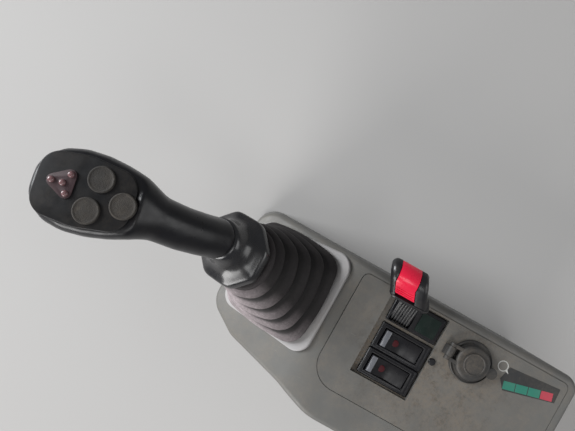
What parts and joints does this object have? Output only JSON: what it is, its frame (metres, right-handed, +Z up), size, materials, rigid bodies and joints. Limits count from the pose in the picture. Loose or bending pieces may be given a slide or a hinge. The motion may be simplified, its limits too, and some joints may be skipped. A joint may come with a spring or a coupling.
{
  "type": "skid steer loader joystick console",
  "caption": "Right-hand control console with a booted joystick, rocker switches, a locking paddle and a capped socket.",
  "frame": {"origin": "middle of the four mounting bolts, at the underside of the base plate", "axes": "+X outboard to the machine's right, +Y to the front of the machine, +Z up"},
  "size_m": [0.1761, 0.4609, 0.2596],
  "materials": {
    "black_steel": "satin",
    "grey_plastic": "fine grain, dusty",
    "pale_grey_plastic": "satin",
    "black_plastic": "satin",
    "gloss_black": "satin gloss",
    "olive_plastic": "matt",
    "rose_plastic": "matt",
    "red_plastic": "gloss",
    "pale_lens": "gloss",
    "red_lens": "gloss",
    "green_lens": "gloss",
    "soft_rubber": "matt",
    "boot_rubber": "matt, dusty",
    "cast_alloy": "cast",
    "steel": "bright"
  },
  "bodies": {
    "console": {"base_plate": "black_steel", "pod_body": "grey_plastic", "switch_cover": "grey_plastic", "inner_switch_body": "black_plastic", "outer_switch_body": "black_plastic", "lock_switch_body": "black_plastic", "marker_lens": "green_lens", "socket_tube": "black_plastic", "socket_ring": "soft_rubber", "hole_plug": "black_plastic", "boot_collar": "pale_grey_plastic", "joystick_housing": "cast_alloy", "boot": "boot_rubber"},
    "gimbal": {"gimbal_ring": "steel"},
    "lever": {"lever_stem": "steel", "boot_clamp": "gloss_black", "grip": "gloss_black", "grip_face": "black_plastic", "left_button": "olive_plastic", "right_button": "olive_plastic", "rear_button": "olive_plastic", "signal_cluster": "rose_plastic"},
    "inner_rocker_body": {"inner_rocker": "black_plastic", "inner_bar_lens": "pale_lens", "inner_lamp": "red_lens"},
    "outer_rocker_body": {"outer_rocker": "black_plastic", "outer_bar_lens": "pale_lens", "outer_lamp": "red_lens"},
    "paddle": {"lock_stalk": "black_plastic", "lock_head": "gloss_black"},
    "catch": {"lock_catch": "red_plastic"},
    "cap": {"socket_cap": "soft_rubber"}
  },
  "joints": [
    {"name": "lever_fore_aft", "type": "hinge", "parent": "console", "child": "gimbal", "pos_m": [0.0195, 0.10708, 0.0926], "axis": [1, 0, 0], "range_deg": [-20, 20], "stiffness_Nm_per_rad": 4, "springref_deg": 3.55, "deforming": ["boot"]},
    {"name": "lever_side", "type": "hinge", "parent": "gimbal", "child": "lever", "pos_m": [0.0195, 0.10708, 0.0926], "axis": [0, 0.9063, -0.4226], "range_deg": [-20, 20], "stiffness_Nm_per_rad": 4, "springref_deg": 0.29, "deforming": ["boot"]},
    {"name": "inner_rocker_tilt", "type": "hinge", "parent": "console", "child": "inner_rocker_body", "pos_m": [-0.0046, -0.005, 0.1251], "axis": [1, 0, 0], "range_deg": [-9, 9]},
    {"name": "outer_rocker_tilt", "type": "hinge", "parent": "console", "child": "outer_rocker_body", "pos_m": [0.0211, -0.005, 0.1251], "axis": [1, 0, 0], "range_deg": [-9, 9]},
    {"name": "paddle_swing", "type": "hinge", "parent": "console", "child": "paddle", "pos_m": [0.0435, 0.0062, 0.1241], "axis": [0, 1, 0], "range_deg": [-40, 0]},
    {"name": "catch_slide", "type": "slide", "parent": "paddle", "child": "catch", "axis": [-0.7494, -0.309, -0.5855], "range_m": [0, 0.0025], "stiffness_N_per_m": 150, "springref_m": -0.003},
    {"name": "cap_open", "type": "hinge", "parent": "console", "child": "cap", "pos_m": [0.04, -0.0415, 0.1355], "axis": [-1, 0, 0], "range_deg": [0, 110]}
  ]
}
